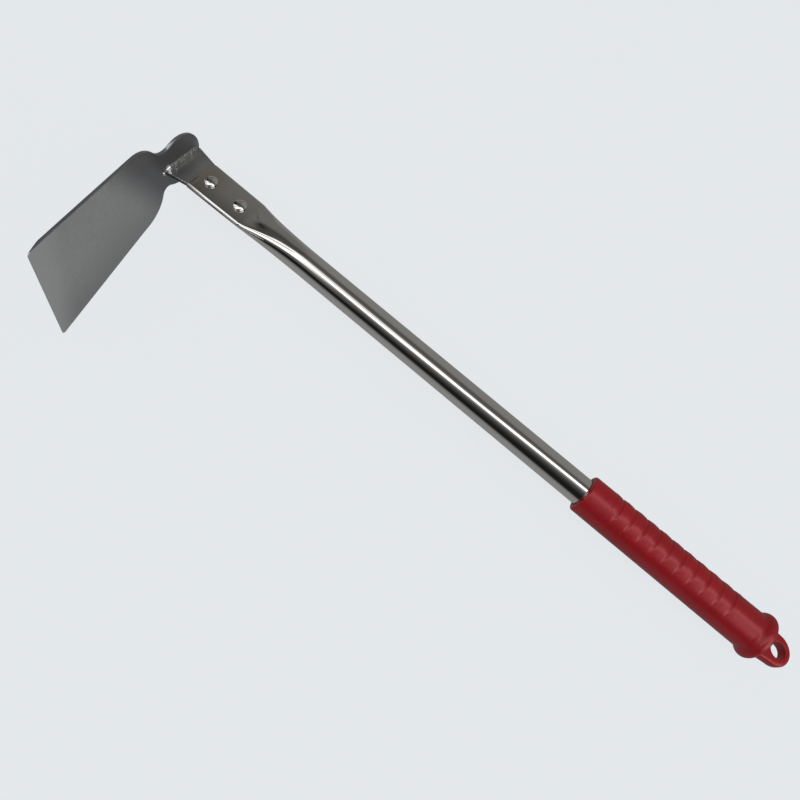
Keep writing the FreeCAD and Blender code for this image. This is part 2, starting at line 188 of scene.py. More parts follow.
def sheet_place(across, drop, depth):
    """Outline coordinates and a depth behind the face, taken on to the bent sheet."""
    edge_x = BEND_START * math.sin(HEAD_LEAN) + BEND_RADIUS * (math.cos(HEAD_LEAN) - math.cos(BLADE_LEAN))
    edge_z = -BEND_START * math.cos(HEAD_LEAN) - BEND_RADIUS * (math.sin(BLADE_LEAN) - math.sin(HEAD_LEAN))
    edge_x += (HALF_LENGTH - BEND_END) * math.sin(BLADE_LEAN)
    edge_z -= (HALF_LENGTH - BEND_END) * math.cos(BLADE_LEAN)

    def middle(distance):
        lean = HEAD_LEAN + (np.clip(distance, BEND_START, BEND_END) - BEND_START) / BEND_RADIUS
        straight, rest = np.minimum(distance, BEND_START), np.maximum(distance - BEND_END, 0)
        x = straight * math.sin(HEAD_LEAN) + BEND_RADIUS * (math.cos(HEAD_LEAN) - np.cos(lean))
        z = -straight * math.cos(HEAD_LEAN) - BEND_RADIUS * (np.sin(lean) - math.sin(HEAD_LEAN))
        return x + rest * math.sin(BLADE_LEAN), z - rest * math.cos(BLADE_LEAN), lean

    samples = np.linspace(-25, HALF_LENGTH + 5, 3000)
    x, z, _ = middle(samples)
    flat_drop = (x - edge_x) * math.sin(BLADE_LEAN) - (z - edge_z) * math.cos(BLADE_LEAN) + HALF_LENGTH
    distance = np.interp(drop, flat_drop, samples)
    for _ in range(4):
        lean = middle(distance)[2]
        distance = np.interp(drop + depth * np.sin(BLADE_LEAN - lean), flat_drop, samples)
    x, z, lean = middle(distance)
    return np.stack([x - depth * np.cos(lean), -across, z - depth * np.sin(lean)], 1)


def make_blade(material):
    """Stamped plate: two gridded faces and a rounded edge round the outline, thinned by the bevel."""
    # Rows down the plate lie close together round the head, the bend and the corners.
    top = HEAD_DROP - HEAD_RADIUS
    drops = [top + HEAD_RADIUS * (1 - math.cos(math.radians(angle))) for angle in range(0, 70, 4)]
    drops += list(np.arange(drops[-1] + 0.7, 45, 0.7)) + list(np.arange(46.5, HALF_LENGTH - 4.5, 2.2))
    drops += [HALF_LENGTH - 3.2]
    drops += [HALF_LENGTH - CORNER_RADIUS * (1 - math.sin(math.radians(angle)))
              for angle in range(-5, 91, 8)]
    drops = np.array(drops[:-1] + [HALF_LENGTH])
    sides = {}
    for sign, head_x, waist_radius in ((-1, -HEAD_OFFSET, BACK_WAIST), (1, HEAD_OFFSET, FRONT_WAIST)):
        width, normal = half_outline(drops, head_x, waist_radius)
        sides[sign] = (sign * width, normal * np.array([sign, 1]))
    sides[-1][0][0] = sides[1][0][0] = HEAD_OFFSET
    shares = (1 - np.cos(np.linspace(0, math.pi, 41))) / 2 * 0.25 + np.linspace(0, 1, 41) * 0.75
    last = len(drops) - 1

    # The ring runs down the front side, along the cutting edge and up the back side.
    edge_across = sides[1][0][last] + (sides[-1][0][last] - sides[1][0][last]) * shares[1:-1]
    ring_across = np.concatenate([[HEAD_OFFSET], sides[1][0][1:], edge_across, sides[-1][0][:0:-1]])
    ring_drop = np.concatenate([[top], drops[1:], np.full(len(edge_across), HALF_LENGTH), drops[:0:-1]])
    edge_normal = np.tile([0.0, 1.0], (len(edge_across), 1))
    ring_normal = np.concatenate([[[0.0, -1.0]], sides[1][1][1:], edge_normal, sides[-1][1][:0:-1]])
    ring_normal[last], ring_normal[last + len(edge_across) + 1] = (0, 1), (0, 1)
    thin = np.clip((ring_drop - HALF_LENGTH + BEVEL_LENGTH) / BEVEL_LENGTH, 0, 1)
    thickness = BLADE_THICKNESS + (EDGE_LAND - BLADE_THICKNESS) * thin
    front_round = np.minimum(0.45 + 0.55 * (1 - smoothstep(14, 26, ring_drop)), thickness * 0.5)
    back_round = np.minimum(0.3, thickness * 0.4)

    layers = []
    turns = [(front_round, angle, 0, 1) for angle in np.radians([0, 30, 60, 90])]
    turns += [(back_round, angle, thickness, -1) for angle in np.radians([90, 60, 30, 0])]
    for rounding, angle, base, inward in turns:
        inset = rounding * (1 - math.sin(angle))
        depth = base + inward * rounding * (1 - math.cos(angle))
        across, drop = ring_across - ring_normal[:, 0] * inset, ring_drop - ring_normal[:, 1] * inset
        layers.append((across, drop, depth))
    rings = [sheet_place(*layer) for layer in layers]
    points, faces = loft(rings, close_ends=False)

    # The two faces' inner grids share their border with the first and the last ring.
    count, columns = len(ring_drop), len(shares)
    for layer, ring_start in ((layers[0], 0), (layers[-1], (len(layers) - 1) * count)):
        across, drop, depth = layer
        grid = np.zeros((last + 1, columns), int)
        for row in range(last + 1):
            right = ring_start + row
            left = ring_start + (count - row) % count
            grid[row, 0], grid[row, -1] = right, left
            if row == 0:
                grid[row, :] = ring_start
            elif row == last:
                grid[row, 1:-1] = ring_start + last + np.arange(1, columns - 1)
            else:
                a, b = row, (count - row) % count
                inner_across = across[a] + (across[b] - across[a]) * shares[1:-1]
                inner_drop = np.full(columns - 2, drop[a]) + (drop[b] - drop[a]) * shares[1:-1]
                inner_depth = np.full(columns - 2, depth[a])
                grid[row, 1:-1] = len(points) + np.arange(columns - 2)
                points.extend(sheet_place(inner_across, inner_drop, inner_depth))
        for row in range(last):
            for column in range(columns - 1):
                corners = [grid[row, column], grid[row, column + 1], grid[row + 1, column + 1],
                           grid[row + 1, column]]
                unique = list(dict.fromkeys(int(corner) for corner in corners))
                if len(unique) > 2:
                    faces.append(tuple(unique))
    keep_flats(new_piece("blade_plate", points, faces, "blade", material))


# ---------------------------------------------------------------- tang and weld

def make_tang(material):
    """Flat plate on edge with softly broken edges; its tail runs inside the flattened tube."""
    slope = math.tan(HEAD_LEAN)
    outline = [(-TANG_WELD_TOP * slope, TANG_WELD_TOP), (TUBE_MOUTH, TANG_MOUTH_TOP),
               (TUBE_MOUTH, TAIL_TOP), (TAIL_END, TAIL_TOP), (TAIL_END, TAIL_BOTTOM),
               (TUBE_MOUTH, TAIL_BOTTOM), (TUBE_MOUTH, TANG_MOUTH_BOTTOM),
               (-TANG_WELD_BOTTOM * slope, TANG_WELD_BOTTOM)]
    work = bmesh.new()
    for y in (-TANG_THICKNESS / 2, TANG_THICKNESS / 2):
        for x, z in outline:
            work.verts.new((x, y, z))
    work.verts.ensure_lookup_table()
    count = len(outline)
    work.faces.new(work.verts[:count])
    work.faces.new(work.verts[count:][::-1])
    for index in range(count):
        following = (index + 1) % count
        corners = (index, following, following + count, index + count)
        work.faces.new([work.verts[corner] for corner in corners])
    bmesh.ops.recalc_face_normals(work, faces=work.faces)
    bmesh.ops.bevel(work, geom=work.edges[:], offset=0.35, segments=3, profile=0.5, affect="EDGES")
    points = [tuple(vert.co) for vert in work.verts]
    work.verts.index_update()
    faces = [tuple(vert.index for vert in face.verts) for face in work.faces]
    work.free()
    keep_flats(new_piece("tang_plate", points, faces, "tang", material))


def make_weld(side, name, material):
    """Flat rippled bead that runs up the corner between the blade's face and the tang's side."""
    front = side < 0
    low, high, pitch = -16.4 if front else -11.5, 12.2, 1.45
    half_depth, half_width, centre = 1.5, 2.3, 1.5
    start = low + 2.1 if front else low
    rings = []
    for z in np.linspace(low, high, 260):
        # The bead ends at the bottom in a smooth slope, and the front one in a small drop round the
        # tang's corner.
        slope = min(max((z - start) / 3.4, 0.02), 1)
        drop = 0.55 * math.sqrt(max(1 - ((z + 15.4) / 1.0) ** 2, 0.0)) if front else 0
        tip = max(min(slope, math.sqrt(max((high - z) / 1.1, 0.0009))), drop)
        rippled = smoothstep(start + 2.5, start + 5, z)
        aside = centre - 1.3 * (1 - smoothstep(-15.5, -13.2, z)) if front else centre
        wander = noise.noise(Vector((z * 0.3, side * 9, 0)))
        pits = sum(math.exp(-((z - place) / 0.55) ** 2) for place in (-7.4, -3.2, 5.3))
        ring = []
        for angle in np.linspace(0, 2 * math.pi, WELD_SIDES, endpoint=False):
            outward = max(math.cos(angle), 0)
            phase = z / pitch + 0.5 * outward + 0.25 * noise.noise(Vector((z * 0.6, side * 3, 0)))
            valley = (1 - abs(math.sin(math.pi * phase)) ** 0.8) * rippled
            rough = noise.noise(Vector((z * 0.7, angle * 1.1, side * 7))) * rippled
            swell = (1 + 0.06 * wander * rippled + 0.05 * rough) * tip
            x = (half_depth - (0.12 * valley + 0.22 * pits) * outward) * swell * math.cos(angle)
            y = (half_width - 0.05 * valley) * swell * math.sin(angle)
            ring.append((-z * math.tan(HEAD_LEAN) + x, side * (TANG_THICKNESS / 2 + aside + y), z))
        rings.append(ring)
    points, faces = loft(rings)
    node = "weld_bead_front" if front else "weld_bead_back"
    new_piece(name, points, faces, node, material)


# ---------------------------------------------------------------- tube

def tube_ring(x, inset):
    """Section of the tube at X, a stadium that opens into a circle, with points close together in bends."""
    along = min(max((x - FLAT_END) / (ROUND_START - FLAT_END), 0), 1)
    blend = 1 - (1 - along) ** 2
    taper = min(max((FLAT_END - x) / (FLAT_END - TUBE_MOUTH), 0), 1)
    flat_width = FLAT_HALF_WIDTH + (MOUTH_HALF_WIDTH - FLAT_HALF_WIDTH) * taper
    half_height = FLAT_HALF_HEIGHT + (TUBE_RADIUS - FLAT_HALF_HEIGHT) * blend - inset
    half_width = flat_width + (TUBE_RADIUS - flat_width) * blend - inset
    bow = 0.22 * (1 - blend) + 1.1 * blend * (1 - blend) + 1e-3
    end_radius = half_height - bow
    face_radius = (half_width ** 2 + half_height ** 2 - 2 * half_width * end_radius) / (2 * bow)
    split = math.atan2(half_width - end_radius, face_radius - half_height)
    outline = []
    for angle in np.linspace(0, 2 * math.pi, TUBE_SAMPLES, endpoint=False):
        fold = angle % math.pi
        quarter = fold if fold <= math.pi / 2 else math.pi - fold
        if quarter < split:
            y = face_radius * math.cos(quarter) - (face_radius - half_height)
            z = face_radius * math.sin(quarter)
        else:
            y = end_radius * math.cos(quarter)
            z = half_width - end_radius + end_radius * math.sin(quarter)
        y *= 1 if math.cos(angle) >= 0 else -1
        z *= 1 if math.sin(angle) >= 0 else -1
        outline.append((y, z))
    outline = np.array(outline)
    step = np.hypot(np.diff(outline[:, 0]), np.diff(outline[:, 1]))
    length = np.concatenate([[0], np.cumsum(step)])
    by_angle = np.linspace(0, 1, len(length))
    weight = length / length[-1] * TUBE_BY_LENGTH + by_angle * (1 - TUBE_BY_LENGTH)
    wanted = np.linspace(0, 1, TUBE_SIDES, endpoint=False)
    shift = (FLAT_SHIFT + (MOUTH_SHIFT - FLAT_SHIFT) * taper) * (1 - blend)
    y = np.interp(wanted, weight, outline[:, 0])
    z = np.interp(wanted, weight, outline[:, 1]) + shift
    return np.stack([np.full(TUBE_SIDES, x), -y, z], 1)


def press_mark(x):
    """Section where the front leaves the flat: a soft dent low down, and a gentle rise above a ridge."""
    ring = tube_ring(x, 0)
    reach, length = x - FLAT_END, ROUND_START - FLAT_END
    if not 0 < reach < length:
        return ring
    share = reach / length
    ease = 3.0
    slow = min((reach - ease + ease * math.exp(-reach / ease)) / (length - ease), 1)
    lower, upper = 1 - (1 - slow) ** 2, 1 - (1 - share) ** 1.35
    ridge = 5.6 - 0.8 * reach if reach < 6 else 0.8 - 0.05 * (reach - 6)
    width = 0.35 + 0.16 * reach
    above = smoothstep(ridge - width, ridge + width, ring[:, 2]) * (1 - smoothstep(8, 28, reach))
    rise = TUBE_RADIUS - FLAT_HALF_HEIGHT
    wanted = FLAT_HALF_HEIGHT + rise * (lower + (upper - lower) * above)
    front = ring[:, 1] < 0
    ring[front, 1] *= (wanted / (FLAT_HALF_HEIGHT + rise * (1 - (1 - share) ** 2)))[front]
    # The face stays fuller in the middle than a plain section, and falls away slowly to the lower side.
    fuller = 0.75 * smoothstep(1, 12, reach) * (1 - smoothstep(12, 34, reach))
    place = np.clip((ring[:, 2] - 1.5) / 6.5, -1, 1)
    ring[front, 1] -= (fuller * np.cos(place * math.pi / 2) ** 2)[front]
    return ring


def make_tube(material):
    """Tube with a flattened end, open at both ends."""
    stations = list(np.linspace(TUBE_MOUTH + 0.25, 45, 10)) + list(np.linspace(46, FLAT_END - 0.4, 8))
    stations += [FLAT_END - 0.12, FLAT_END, FLAT_END + 0.12] + list(FLAT_END + np.arange(0.4, 8, 0.3))
    stations += list(np.linspace(61, ROUND_START, 44))
    stations += list(np.linspace(104, TUBE_END - 0.25, 26))
    # Down the outside, over each rounded end, and back along the inside.
    rings = [tube_ring(TUBE_MOUTH, 0.2), tube_ring(TUBE_MOUTH + 0.06, 0.06)]
    rings += [press_mark(x) for x in stations]
    rings += [tube_ring(TUBE_END, 0.2), tube_ring(TUBE_END, TUBE_WALL - 0.2)]
    inside = [x for x in stations if x > TUBE_MOUTH + 1][::2]
    rings += [tube_ring(x, TUBE_WALL) for x in reversed(inside)]
    rings += [tube_ring(TUBE_MOUTH + 0.25, TUBE_WALL), tube_ring(TUBE_MOUTH, TUBE_WALL - 0.15)]
    points, faces = loft(rings, close_ends=False)
    start = (len(rings) - 1) * TUBE_SIDES
    for column in range(TUBE_SIDES):
        following = (column + 1) % TUBE_SIDES
        faces.append((start + column, start + following, following, column))
    new_piece("tube_shell", points, faces, "handle_tube", material)


def make_rivet(name, station, material):
    """Set rivet: a low dome on a short wall on each side of the flat, and the shank between them."""
    shoulder = FLAT_HALF_HEIGHT + RIVET_WALL
    ball = (RIVET_RADIUS - 0.12) / math.sin(RIVET_SLOPE)
    top = shoulder + 0.15 + ball * (1 - math.cos(RIVET_SLOPE))
    profile = [(top - ball * (1 - math.cos(turn)), ball * math.sin(turn))
               for turn in np.linspace(0.05, 1, 14) * RIVET_SLOPE]
    profile += [(shoulder + 0.06, RIVET_RADIUS - 0.03), (shoulder - 0.1, RIVET_RADIUS)]
    profile += [(FLAT_HALF_HEIGHT + 0.18, RIVET_RADIUS), (FLAT_HALF_HEIGHT + 0.06, RIVET_RADIUS - 0.14)]
    profile += [(FLAT_HALF_HEIGHT + 0.05, 3.3), (FLAT_HALF_HEIGHT - 0.2, 2.2)]
    rings = []
    for y, reach in profile + [(-y, reach) for y, reach in reversed(profile)]:
        rings.append([(station + reach * math.cos(a), y, RIVET_SHIFT + reach * math.sin(a))
                      for a in np.linspace(0, 2 * math.pi, RIVET_SIDES, endpoint=False)])
    points, faces = loft(rings, close_ends=False)
    for start, y in ((0, top), (len(points) - RIVET_SIDES, -top)):
        points.append((station, y, RIVET_SHIFT))
        faces += [(start + i, start + (i + 1) % RIVET_SIDES, len(points) - 1) for i in range(RIVET_SIDES)]
    new_piece(name + "_set", points, faces, name, material)


# ---------------------------------------------------------------- grip

def grip_profile():
    """Stations and radii of the moulding: its rim, barrel, swelling flange and flat back, then its bore."""
    rim = [(GRIP_START + GRIP_RIM * (1 - math.cos(a)), GRIP_RADIUS - GRIP_RIM + GRIP_RIM * math.sin(a))
           for a in np.radians(np.arange(0, 90, 15))]
    barrel = [(x, GRIP_RADIUS) for x in np.arange(GRIP_START + GRIP_RIM, FLANGE_START - 0.1, 0.3)]
    crown_x = FLANGE_BACK - FLANGE_ROUND
    swell = []
    for share in np.linspace(0, 1, 22):
        inverse = 1 - share
        pull = 3 * inverse ** 2 * share + 3 * inverse * share ** 2
        x = inverse ** 3 * FLANGE_START + pull * (FLANGE_START + crown_x) / 2 + share ** 3 * crown_x
        radius = inverse ** 2 * (1 + 2 * share) * GRIP_RADIUS + share ** 2 * (3 - 2 * share) * FLANGE_RADIUS
        swell.append((x, radius))
    back = [(crown_x + FLANGE_ROUND * math.sin(a), FLANGE_RADIUS - FLANGE_ROUND + FLANGE_ROUND * math.cos(a))
            for a in np.radians(np.arange(8, 91, 8))]
    back += [(FLANGE_BACK, radius) for radius in (10, 9, 7.5, 5, 2.5)]
    bore_radius, bore_end = TUBE_RADIUS + 0.02, TUBE_END + 0.1
    bore = [(bore_end, 3.0), (bore_end, 6.0), (bore_end, bore_radius)]
    bore += [(x, bore_radius) for x in np.linspace(400, GRIP_START + 0.5, 12)] + [(GRIP_START, 8.5)]
    return rim + barrel + swell + back, bore


def groove_depth(x, upper):
    """Depth of the finger grooves and the soft waves between them. They lie on the +Z side and fade out."""
    place = (x - GROOVE_FIRST) / GROOVE_PITCH
    nearest = min(max(round(place), 0), GROOVE_COUNT - 1)
    groove = 0.5 * math.exp(-((place - nearest) * GROOVE_PITCH / 0.6) ** 2)
    wavy = -0.5 < place < GROOVE_COUNT - 0.5
    wave = 0.26 * math.cos(math.pi * (place - nearest)) - 0.16 if wavy else 0
    return smoothstep(-0.80, -0.30, upper) * groove + smoothstep(-0.9, 0.3, upper) * wave


def make_grip(material):
    """Soft moulding with a closed bore for the tube, joined to the loop's tab."""
    around = np.linspace(0, 2 * math.pi, GRIP_SIDES, endpoint=False)
    outside, bore = grip_profile()
    rings = []
    for x, radius in outside:
        depth = groove_depth(x, np.cos(around)) if radius == GRIP_RADIUS else np.zeros(GRIP_SIDES)
        rings.append([(x, (radius - d) * math.sin(a), (radius - d) * math.cos(a))
                      for a, d in zip(around, depth)])
    inner_rings = [[(x, radius * math.sin(a), radius * math.cos(a)) for a in around] for x, radius in bore]
    points, faces = loft(rings, close_ends=False)
    inner_points, inner_faces = loft(inner_rings, close_ends=False)
    offset = len(points)
    points = points + inner_points
    faces += [tuple(corner + offset for corner in face) for face in inner_faces]
    end = len(points)
    points += [(FLANGE_BACK, 0, 0), (TUBE_END + 0.1, 0, 0)]
    # The ring in front, then the flange's back and the bore's bottom.
    steps = [(column, (column + 1) % GRIP_SIDES) for column in range(GRIP_SIDES)]
    faces += [(a, b, end - GRIP_SIDES + b, end - GRIP_SIDES + a) for a, b in steps]
    faces += [(offset - GRIP_SIDES + a, offset - GRIP_SIDES + b, end) for a, b in steps]
    faces += [(offset + a, offset + b, end + 1) for a, b in steps]
    grip = new_piece("grip_moulding", points, faces, "grip", material)

    tab = make_tab(material)
    join = grip.modifiers.new("loop", "BOOLEAN")
    join.operation, join.solver, join.object = "UNION", "EXACT", tab
    bpy.context.view_layer.update()
    baked = bpy.data.meshes.new_from_object(grip.evaluated_get(bpy.context.evaluated_depsgraph_get()))
    grip.modifiers.clear()
    grip.data = baked
    grip.data.polygons.foreach_set("use_smooth", [True] * len(grip.data.polygons))
    bpy.data.objects.remove(tab)
    keep_flats(grip)


def make_tab(material):
    """The loop's tab: one section swept round the hole, from the hole's edge to the outline."""
    half, soft, lip = LOOP_THICKNESS / 2, 2.0, 0.45
    rings = []
    for angle in np.linspace(0, 2 * math.pi, LOOP_STEPS, endpoint=False):
        direction = np.array([math.cos(angle), math.sin(angle)])
        reach = tab_reach(direction)
        upper = [(reach - soft + soft * math.sin(turn), half - soft + soft * math.cos(turn))
                 for turn in np.radians(np.arange(0, 91, 10))]
        lower = [(r, -y) for r, y in reversed(upper)]
        inner_low = [(LOOP_HOLE_RADIUS + lip - lip * math.sin(t), -half + lip - lip * math.cos(t))
                     for t in np.radians([0, 30, 60, 90])]
        inner_high = [(r, -y) for r, y in reversed(inner_low)]
        rings.append([(LOOP_HOLE_X + r * direction[0], y, r * direction[1])
                      for r, y in upper + lower + inner_low + inner_high])
    rings.append(rings[0])
    points, faces = loft(rings, close_ends=False)
    return new_piece("loop_tool", points, faces, None, material)


def tab_reach(direction):
    """Distance from the hole's centre to the tab's outline, in one direction of the middle plane."""
    low, high = 4.0, 20.0
    centre = LOOP_END - LOOP_END_RADIUS
    base = LOOP_BASE + (LOOP_BASE - LOOP_END_RADIUS) * 0.35
    for _ in range(40):
        middle = (low + high) / 2
        x, z = LOOP_HOLE_X + direction[0] * middle, abs(direction[1] * middle)
        if x > centre:
            inside = math.hypot(x - centre, z) < LOOP_END_RADIUS
        else:
            share = (centre - x) / (centre - LOOP_START)
            inside = z < LOOP_END_RADIUS + (base - LOOP_END_RADIUS) * share and x > LOOP_START
        low, high = (middle, high) if inside else (low, middle)
    return low


# ---------------------------------------------------------------- materials

class Nodes:
    """Short helpers over one material's node tree."""

    def __init__(self, name):
        self.material = bpy.data.materials.new(name)
        self.material.use_nodes = True
        self.tree = self.material.node_tree
        self.shader = self.tree.nodes["Principled BSDF"]
        self.coordinates = self.add("ShaderNodeTexCoord").outputs["Object"]

    def add(self, kind, **settings):
        node = self.tree.nodes.new(kind)
        for key, value in settings.items():
            setattr(node, key, value)
        return node

    def link(self, source, target):
        self.tree.links.new(source, target)

    def noise(self, scale, detail):
        texture = self.add("ShaderNodeTexNoise")
        for key, number in (("Scale", scale), ("Detail", detail), ("Roughness", 0.55)):
            texture.inputs[key].default_value = number
        self.link(self.coordinates, texture.inputs["Vector"])
        return texture.outputs["Fac"]

    def span(self, value, low, high, to_low, to_high):
        """A soft step from to_low, where the value is low, to to_high, where it is high."""
        node = self.add("ShaderNodeMapRange", interpolation_type="SMOOTHSTEP")
        for key, number in (("From Min", low), ("From Max", high), ("To Min", to_low), ("To Max", to_high)):
            node.inputs[key].default_value = number
        self.link(value, node.inputs["Value"])
        return node.outputs["Result"]

    def patches(self, texture, to_low=0, to_high=1):
        """The middle range of a noise, spread out between two values."""
        return self.span(texture, 0.3, 0.7, to_low, to_high)

    def mix(self, factor, first, second):
        node = self.add("ShaderNodeMix", data_type="RGBA")
        if isinstance(factor, float):
            node.inputs[0].default_value = factor
        else:
            self.link(factor, node.inputs[0])
        for socket, colour in ((node.inputs[6], first), (node.inputs[7], second)):
            if isinstance(colour, tuple):
                socket.default_value = (*colour, 1)
            else:
                self.link(colour, socket)
        return node.outputs[2]

    def bump(self, height, distance, strength, after=None):
        node = self.add("ShaderNodeBump")
        node.inputs["Strength"].default_value = strength
        node.inputs["Distance"].default_value = distance
        self.link(height, node.inputs["Height"])
        if after is not None:
            self.link(after, node.inputs["Normal"])
        return node.outputs["Normal"]

    def position(self, weights):
        """Metres from the weld, along a direction of the handle's frame."""
        direction = TURN.to_3x3() @ Vector(weights)
        node = self.add("ShaderNodeVectorMath", operation="DOT_PRODUCT")
        self.link(self.coordinates, node.inputs[0])
        node.inputs[1].default_value = direction
        shift = self.add("ShaderNodeMath", operation="SUBTRACT")
        self.link(node.outputs["Value"], shift.inputs[0])
        shift.inputs[1].default_value = direction.dot(ORIGIN)
        return shift.outputs["Value"]

    def distance_from(self, point_mm):
        """Distance in metres from a point of the handle's frame."""
        node = self.add("ShaderNodeVectorMath", operation="DISTANCE")
        self.link(self.coordinates, node.inputs[0])
        node.inputs[1].default_value = PLACE @ Vector(point_mm)
        return node.outputs["Value"]

    def size(self, value):
        node = self.add("ShaderNodeMath", operation="ABSOLUTE")
        self.link(value, node.inputs[0])
        return node.outputs["Value"]

    def cut_edge(self, across, low, high):
        """1 on a plate's cut side, 0 on its two faces, which look along and against the direction across."""
        node = self.add("ShaderNodeVectorMath", operation="DOT_PRODUCT")
        self.link(self.add("ShaderNodeTexCoord").outputs["Normal"], node.inputs[0])
        node.inputs[1].default_value = across
        return self.span(self.size(node.outputs["Value"]), low, high, 1, 0)

    def surface(self, colour, roughness, normal, metallic=1.0):
        for source, socket in ((colour, "Base Color"), (roughness, "Roughness"), (normal, "Normal")):
            self.link(source, self.shader.inputs[socket])
        self.shader.inputs["Metallic"].default_value = metallic
        return self.material


def blade_steel():
    n = Nodes("blade_steel")
    cloud, fine = n.noise(22, 5), n.noise(420, 3)
    colour = n.mix(n.patches(cloud), (0.70, 0.705, 0.71), (0.76, 0.76, 0.76))
    colour = n.mix(n.span(fine, 0.35, 0.7, 0, 0.3), colour, (0.56, 0.565, 0.575))
    # Painted shade: the steel is darkened towards the +Y side, standing in for the lower light that falls
    # there. It turns lighter towards the cutting edge and the -Y side.
    painted_side_shade = n.span(n.position((0, 1, 0)), -0.012, 0.036, 0, 0.95)
    colour = n.mix(painted_side_shade, colour, (0.52, 0.525, 0.53))
    bright = n.span(n.position((0.257, -0.15, -0.966)), 0.094, 0.114, 0, 0.75)
    colour = n.mix(bright, colour, (0.86, 0.86, 0.86))
    # Painted shade: the head is darkened round the weld, standing in for the dark reflections of the tang and
    # tube and the shade of the bend, with the edge of the dark slanting across the shoulders.
    heat_tint_and_painted_shade = n.span(n.position((0.15, 0.65, -0.97)), 0.018, 0.046, 1, 0)
    colour = n.mix(heat_tint_and_painted_shade, colour, (0.27, 0.27, 0.285))
    # Painted highlight: the head is lightened towards its top, standing in for the soft band of light along
    # its rounded rim.
    top = n.span(n.position((0, 0.5, 1)), 0.003, 0.013, 0, 0.55)
    colour = n.mix(top, colour, (0.52, 0.53, 0.55))
    colour = n.mix(n.cut_edge(ALONG, 0.35, 0.85), colour, (0.46, 0.47, 0.49))
    normal = n.bump(fine, 0.00002, 0.5, n.bump(cloud, 0.0003, 0.4))
    return n.surface(colour, n.patches(n.noise(60, 4), 0.34, 0.44), normal)


def tang_steel():
    n = Nodes("tang_steel")
    cloud = n.noise(60, 4)
    colour = n.mix(n.patches(cloud), (0.50, 0.51, 0.53), (0.61, 0.615, 0.62))
    near_tube = n.span(n.position((1, 0, 0)), 0.004, 0.011, 0, 0.6)
    colour = n.mix(near_tube, colour, (0.84, 0.84, 0.84))
    colour = n.mix(n.cut_edge(SIDE, 0.15, 0.5), colour, (0.22, 0.22, 0.23))
    return n.surface(colour, n.patches(cloud, 0.26, 0.36), n.bump(n.noise(500, 3), 0.00002, 0.5))


def weld_metal():
    n = Nodes("weld_metal")
    speck = n.noise(900, 4)
    colour = n.mix(n.span(speck, 0.4, 0.65, 0, 1), (0.46, 0.46, 0.45), (0.66, 0.65, 0.63))
    # Painted highlight: the bead's lower end is lightened to stand in for the bright reflection on it.
    painted_end_highlight = n.span(n.position((0, 0, 1)), -0.0125, -0.0095, 1, 0)
    colour = n.mix(painted_end_highlight, colour, (0.96, 0.95, 0.93))
    return n.surface(colour, n.patches(speck, 0.20, 0.34), n.bump(n.noise(1300, 3), 0.00003, 0.5))


def tube_chrome():
    n = Nodes("tube_chrome")
    # Warm where the weld's heat has reached the chrome.
    heat_tint_and_painted_shade = n.span(n.distance_from((13, 0, 2)), 0.004, 0.022, 0.9, 0)
    colour = n.mix(heat_tint_and_painted_shade, (0.90, 0.885, 0.86), (0.74, 0.64, 0.55))
    return n.surface(colour, n.patches(n.noise(90, 4), 0.04, 0.075), n.bump(n.noise(35, 3), 0.00012, 0.35))


def rivet_steel():
    n = Nodes("rivet_steel")
    cloud = n.noise(300, 3)
    colour = n.mix(n.patches(cloud), (0.84, 0.83, 0.81), (0.94, 0.93, 0.91))
    # Painted shadow: a dark ring at the foot of each head, standing in for the shadow in the narrow joint
    # between the head and the flat.
    painted_contact_shadow = n.span(n.size(n.position((0, 1, 0))), 0.0024, 0.0028, 1, 0)
    colour = n.mix(painted_contact_shadow, colour, (0.10, 0.10, 0.10))
    return n.surface(colour, n.patches(cloud, 0.03, 0.06), n.bump(cloud, 0.0001, 0.35))


def grip_plastic():
    n = Nodes("grip_plastic")
    cloud, grain = n.noise(45, 4), n.noise(700, 3)
    colour = n.mix(n.patches(cloud), (0.185, 0.0026, 0.0052), (0.213, 0.0034, 0.0068))
    n.shader.inputs["IOR"].default_value = 1.6
    n.shader.inputs["Specular IOR Level"].default_value = 1.0
    n.shader.inputs["Specular Tint"].default_value = (0.92, 0.36, 0.39, 1)
    normal = n.bump(grain, 0.00003, 0.35, n.bump(cloud, 0.0004, 0.25))
    return n.surface(colour, n.patches(grain, 0.31, 0.40), normal, metallic=0.0)


# ---------------------------------------------------------------- studio

def add_stage(name, build, material, **sizes):
    """A surface of the studio, which reflections pass through."""
    mesh = bpy.data.meshes.new(name)
    work = bmesh.new()
    build(work, **sizes)
    work.to_mesh(mesh)
    work.free()
    mesh.materials.append(material)
    piece = bpy.data.objects.new(name, mesh)
    piece.location.z = cad_box[0][2]
    bpy.context.scene.collection.objects.link(piece)
    piece.visible_glossy = False
    return piece


def make_stage():
    """A pale floor, and a dome of the same shade round it that only the camera sees."""
    n = Nodes("studio_floor")
    pale = n.mix(n.noise(3, 3), (0.770, 0.801, 0.826), (0.776, 0.807, 0.831))
    n.link(n.mix(0.96, pale, (0.0, 0.0, 0.0)), n.shader.inputs["Base Color"])
    n.link(pale, n.shader.inputs["Emission Color"])
    n.shader.inputs["Emission Strength"].default_value = 0.958
    n.shader.inputs["Specular IOR Level"].default_value = 0.0
    n.shader.inputs["Roughness"].default_value = 0.9
    add_stage("studio_floor", bmesh.ops.create_grid, n.material, x_segments=8, y_segments=8, size=3.0)
    dome = add_stage("studio_dome", bmesh.ops.create_uvsphere, n.material,
                     u_segments=48, v_segments=24, radius=9.0)
    dome.visible_diffuse = dome.visible_transmission = dome.visible_shadow = False


